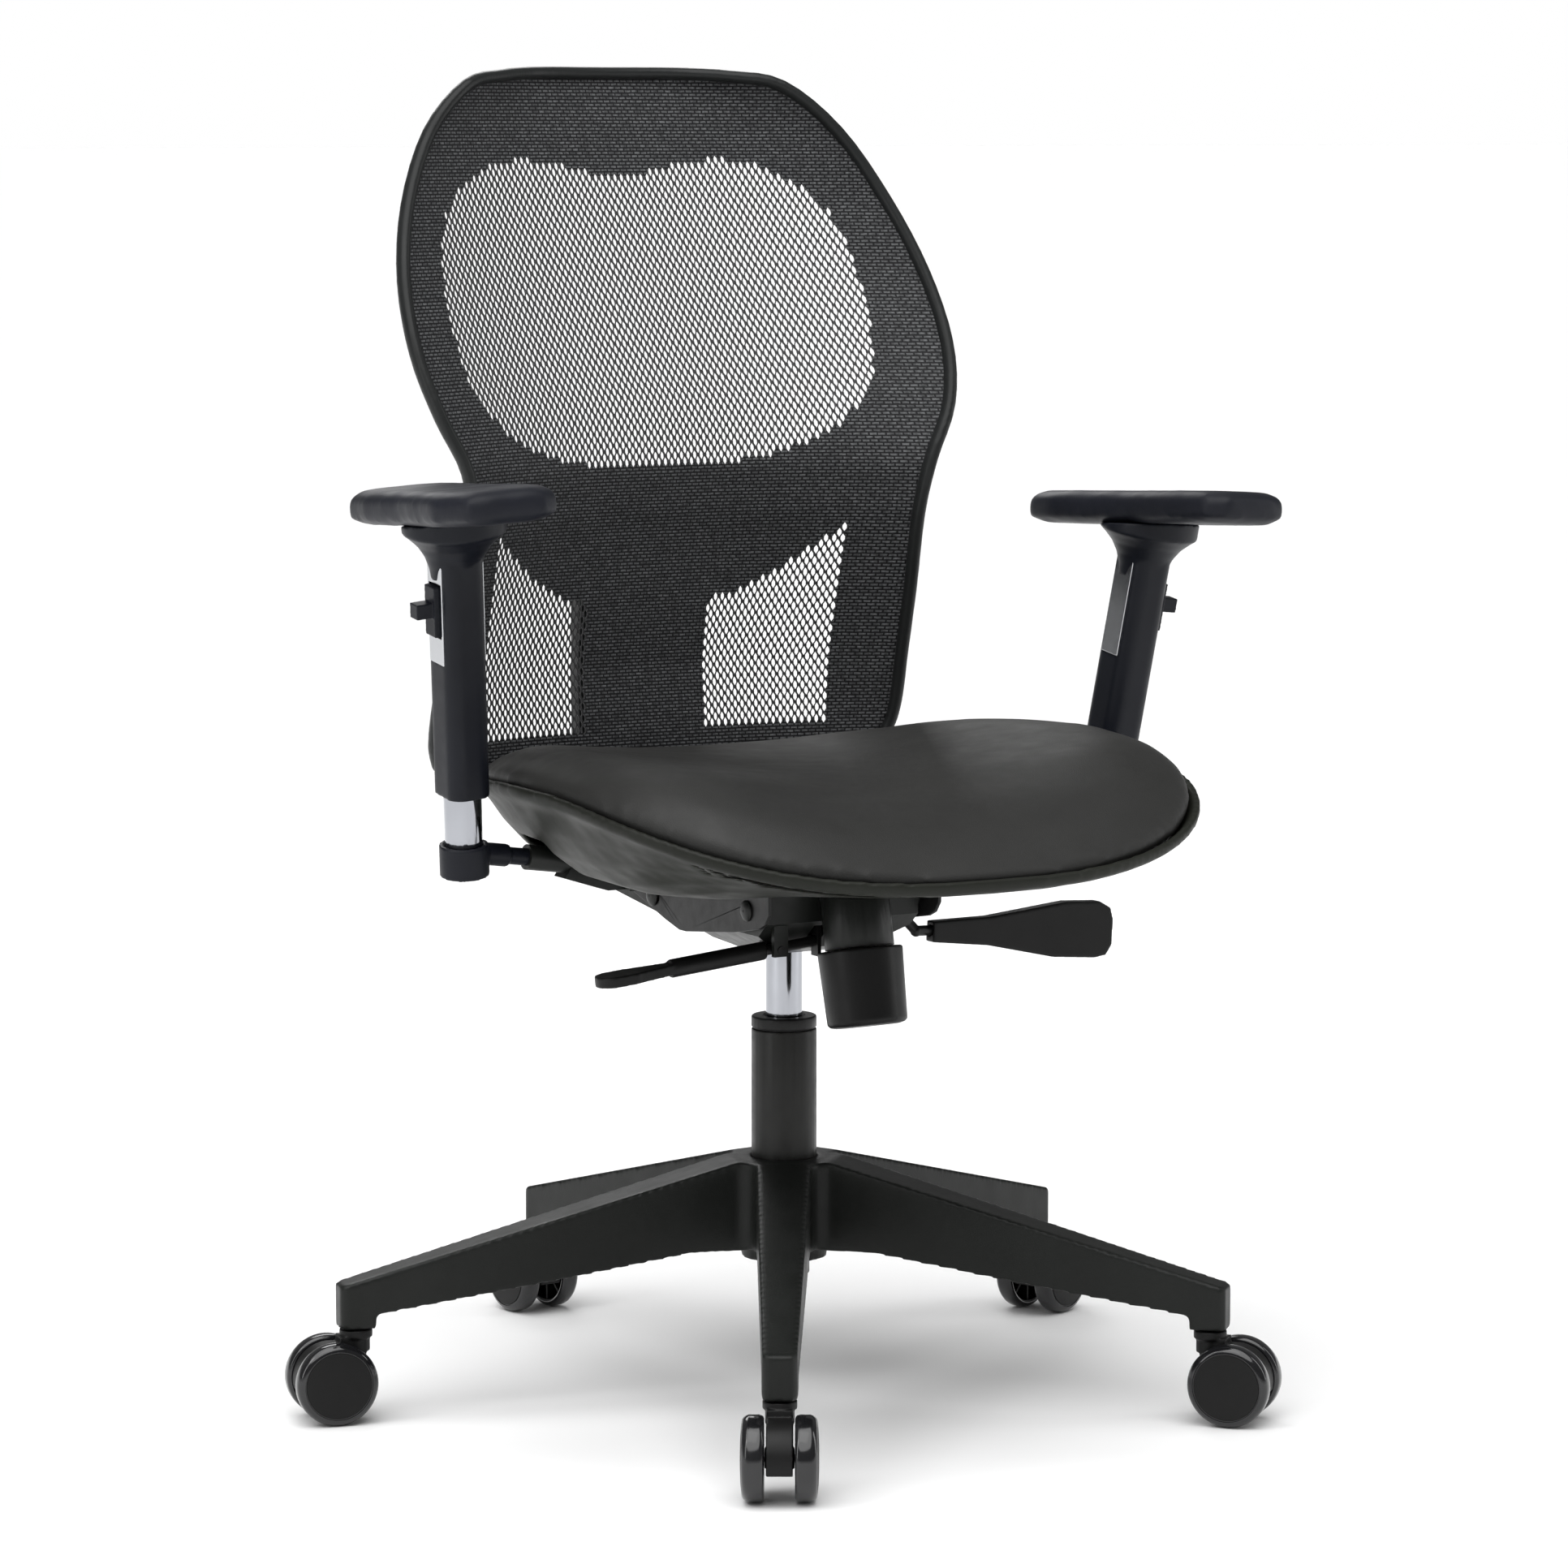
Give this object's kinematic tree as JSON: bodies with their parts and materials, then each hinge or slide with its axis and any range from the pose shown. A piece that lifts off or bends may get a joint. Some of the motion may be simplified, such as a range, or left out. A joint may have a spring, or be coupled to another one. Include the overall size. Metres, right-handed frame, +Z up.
{
  "type": "swivel_office_chair",
  "caption": "Swivel office chair with a woven mesh back, contoured cushion seat, height adjustable arms, synchro tilt and a five-leg caster base",
  "frame": {"origin": "On the floor, where the swivel axis meets it", "axes": "+Z up, the sitter faces -Y, +X to the sitter's left"},
  "size_m": [0.7472, 0.7329, 1.0114],
  "materials": {
    "base_plastic": "satin, fine moulded grain",
    "column_paint": "satin black paint",
    "ring_plastic": "satin",
    "rod_steel": "zinc plated",
    "gas_chrome": "polished",
    "strip_bright": "bright foil",
    "housing_paint": "satin black powder coat",
    "seat_plate_paint": "satin black powder coat",
    "lever_plastic": "satin moulded",
    "lever_rod": "black zinc",
    "upholstery": "smooth matt leather look",
    "board_wood": "raw plywood",
    "shell_plastic": "fine moulded grain",
    "frame_plastic": "satin moulded",
    "woven_mesh": "open woven polyester mesh with dense bands",
    "arm_plastic": "satin moulded, slightly blue",
    "pad_soft": "soft touch",
    "caster_plastic": "satin",
    "caster_steel": "zinc plated",
    "wheel_plastic": "glossy rim, matt disc"
  },
  "bodies": {
    "base": {"base_star": "base_plastic", "column_tube": "column_paint", "column_bushing": "ring_plastic", "piston_rod": "rod_steel"},
    "cylinder": {"gas_cylinder": "gas_chrome"},
    "valve": {"valve_button": "rod_steel"},
    "chassis": {"mech_housing": "housing_paint", "mech_pins": "housing_paint"},
    "tension": {"tension_bolt": "rod_steel", "tension_knob": "lever_plastic"},
    "height_lever": {"height_lever_rod": "lever_rod", "height_lever_handle": "lever_plastic"},
    "tilt_lever": {"tilt_lever_rod": "lever_rod", "tilt_lever_handle": "lever_plastic"},
    "back": {"back_carrier": "housing_paint", "back_pin": "housing_paint", "back_frame": "frame_plastic", "back_mesh": "woven_mesh", "back_spine": "frame_plastic", "back_screws": "rod_steel"},
    "seat": {"seat_plate": "seat_plate_paint", "seat_cushion": "upholstery", "seat_board": "board_wood", "seat_shell": "shell_plastic", "seat_screws": "rod_steel", "left_arm_bracket": "housing_paint", "right_arm_bracket": "housing_paint"},
    "left_arm_slide": {"left_arm_clamp": "arm_plastic", "left_arm_tube": "gas_chrome"},
    "left_arm_rest": {"left_arm_sleeve": "arm_plastic", "left_arm_strip": "strip_bright", "left_arm_pad": "pad_soft"},
    "left_arm_release": {"left_arm_button": "arm_plastic"},
    "right_arm_slide": {"right_arm_clamp": "arm_plastic", "right_arm_tube": "gas_chrome"},
    "right_arm_rest": {"right_arm_sleeve": "arm_plastic", "right_arm_strip": "strip_bright", "right_arm_pad": "pad_soft"},
    "right_arm_release": {"right_arm_button": "arm_plastic"},
    "caster_1": {"caster_1_hood": "caster_plastic", "caster_1_pins": "caster_steel"},
    "caster_1_left": {"caster_1_wheel_left": "wheel_plastic"},
    "caster_1_right": {"caster_1_wheel_right": "wheel_plastic"},
    "caster_2": {"caster_2_hood": "caster_plastic", "caster_2_pins": "caster_steel"},
    "caster_2_left": {"caster_2_wheel_left": "wheel_plastic"},
    "caster_2_right": {"caster_2_wheel_right": "wheel_plastic"},
    "caster_3": {"caster_3_hood": "caster_plastic", "caster_3_pins": "caster_steel"},
    "caster_3_left": {"caster_3_wheel_left": "wheel_plastic"},
    "caster_3_right": {"caster_3_wheel_right": "wheel_plastic"},
    "caster_4": {"caster_4_hood": "caster_plastic", "caster_4_pins": "caster_steel"},
    "caster_4_left": {"caster_4_wheel_left": "wheel_plastic"},
    "caster_4_right": {"caster_4_wheel_right": "wheel_plastic"},
    "caster_5": {"caster_5_hood": "caster_plastic", "caster_5_pins": "caster_steel"},
    "caster_5_left": {"caster_5_wheel_left": "wheel_plastic"},
    "caster_5_right": {"caster_5_wheel_right": "wheel_plastic"}
  },
  "joints": [
    {"name": "seat_height", "type": "slide", "parent": "base", "child": "cylinder", "axis": [0, 0, 1], "range_m": [-0.042, 0.075]},
    {"name": "valve_press", "type": "slide", "parent": "cylinder", "child": "valve", "axis": [0, 0, -1], "range_m": [0, 0.0036]},
    {"name": "seat_swivel", "type": "hinge", "parent": "cylinder", "child": "chassis", "pos_m": [0, 0, 0.35], "axis": [0, 0, 1], "continuous": true},
    {"name": "tension_turn", "type": "hinge", "parent": "chassis", "child": "tension", "pos_m": [0, -0.113, 0.356], "axis": [0, 0.2079, 0.9781], "continuous": true},
    {"name": "height_lever_lift", "type": "hinge", "parent": "chassis", "child": "height_lever", "pos_m": [-0.052, -0.075, 0.355], "axis": [0, 1, 0], "range_deg": [0, 4], "stiffness_Nm_per_rad": 6, "springref_deg": -2.86},
    {"name": "tilt_lever_turn", "type": "hinge", "parent": "chassis", "child": "tilt_lever", "pos_m": [0.044, -0.06, 0.37], "axis": [1, 0, 0], "range_deg": [0, 15]},
    {"name": "back_recline", "type": "hinge", "parent": "chassis", "child": "back", "pos_m": [0, 0.01, 0.373], "axis": [-1, 0, 0], "range_deg": [0, 16], "stiffness_Nm_per_rad": 60, "springref_deg": -28.65},
    {"name": "seat_tilt", "type": "hinge", "parent": "chassis", "child": "seat", "pos_m": [0, -0.075, 0.385], "axis": [-1, 0, 0], "range_deg": [0, 6.8]},
    {"name": "left_arm_width", "type": "slide", "parent": "seat", "child": "left_arm_slide", "axis": [-0.9903, 0, 0.1392], "range_m": [-0.003, 0.022]},
    {"name": "left_arm_height", "type": "slide", "parent": "left_arm_slide", "child": "left_arm_rest", "axis": [-0.1003, -0.1481, 0.9839], "range_m": [-0.036, 0.038]},
    {"name": "left_arm_release_press", "type": "slide", "parent": "left_arm_rest", "child": "left_arm_release", "axis": [0.995, -0.0149, 0.0992], "range_m": [0, 0.003], "stiffness_N_per_m": 800, "springref_m": -0.002},
    {"name": "right_arm_width", "type": "slide", "parent": "seat", "child": "right_arm_slide", "axis": [0.9903, 0, 0.1392], "range_m": [-0.003, 0.022]},
    {"name": "right_arm_height", "type": "slide", "parent": "right_arm_slide", "child": "right_arm_rest", "axis": [0.1003, -0.1481, 0.9839], "range_m": [-0.012, 0.062]},
    {"name": "right_arm_release_press", "type": "slide", "parent": "right_arm_rest", "child": "right_arm_release", "axis": [-0.995, -0.0149, 0.0992], "range_m": [0, 0.003], "stiffness_N_per_m": 800, "springref_m": -0.002},
    {"name": "caster_1_swivel", "type": "hinge", "parent": "base", "child": "caster_1", "pos_m": [-0.17104, -0.29037, 0.07], "axis": [0, 0, 1], "continuous": true},
    {"name": "caster_1_left_spin", "type": "hinge", "parent": "caster_1", "child": "caster_1_left", "pos_m": [-0.18068, -0.30674, 0.031], "axis": [0.8616, -0.5075, 0], "continuous": true},
    {"name": "caster_1_right_spin", "type": "hinge", "parent": "caster_1", "child": "caster_1_right", "pos_m": [-0.18068, -0.30674, 0.031], "axis": [0.8616, -0.5075, 0], "continuous": true},
    {"name": "caster_2_swivel", "type": "hinge", "parent": "base", "child": "caster_2", "pos_m": [0.2233, -0.2524, 0.07], "axis": [0, 0, 1], "continuous": true},
    {"name": "caster_2_left_spin", "type": "hinge", "parent": "caster_2", "child": "caster_2_left", "pos_m": [0.23589, -0.26663, 0.031], "axis": [0.749, 0.6626, 0], "continuous": true},
    {"name": "caster_2_right_spin", "type": "hinge", "parent": "caster_2", "child": "caster_2_right", "pos_m": [0.23589, -0.26663, 0.031], "axis": [0.749, 0.6626, 0], "continuous": true},
    {"name": "caster_3_swivel", "type": "hinge", "parent": "base", "child": "caster_3", "pos_m": [0.30905, 0.13438, 0.07], "axis": [0, 0, 1], "continuous": true},
    {"name": "caster_3_left_spin", "type": "hinge", "parent": "caster_3", "child": "caster_3_left", "pos_m": [0.32647, 0.14195, 0.031], "axis": [-0.3987, 0.9171, 0], "continuous": true},
    {"name": "caster_3_right_spin", "type": "hinge", "parent": "caster_3", "child": "caster_3_right", "pos_m": [0.32647, 0.14195, 0.031], "axis": [-0.3987, 0.9171, 0], "continuous": true},
    {"name": "caster_4_swivel", "type": "hinge", "parent": "base", "child": "caster_4", "pos_m": [-0.0323, 0.33545, 0.07], "axis": [0, 0, 1], "continuous": true},
    {"name": "caster_4_left_spin", "type": "hinge", "parent": "caster_4", "child": "caster_4_left", "pos_m": [-0.03412, 0.35436, 0.031], "axis": [-0.9954, -0.0958, 0], "continuous": true},
    {"name": "caster_4_right_spin", "type": "hinge", "parent": "caster_4", "child": "caster_4_right", "pos_m": [-0.03412, 0.35436, 0.031], "axis": [-0.9954, -0.0958, 0], "continuous": true},
    {"name": "caster_5_swivel", "type": "hinge", "parent": "base", "child": "caster_5", "pos_m": [-0.32901, 0.07294, 0.07], "axis": [0, 0, 1], "continuous": true},
    {"name": "caster_5_left_spin", "type": "hinge", "parent": "caster_5", "child": "caster_5_left", "pos_m": [-0.34756, 0.07705, 0.031], "axis": [-0.2164, -0.9763, 0], "continuous": true},
    {"name": "caster_5_right_spin", "type": "hinge", "parent": "caster_5", "child": "caster_5_right", "pos_m": [-0.34756, 0.07705, 0.031], "axis": [-0.2164, -0.9763, 0], "continuous": true}
  ],
  "couplings": [
    {"joint": "seat_tilt", "follows": "back_recline", "ratio": 0.418},
    {"joint": "valve_press", "follows": "height_lever_lift", "m_per_rad": 0.05}
  ]
}
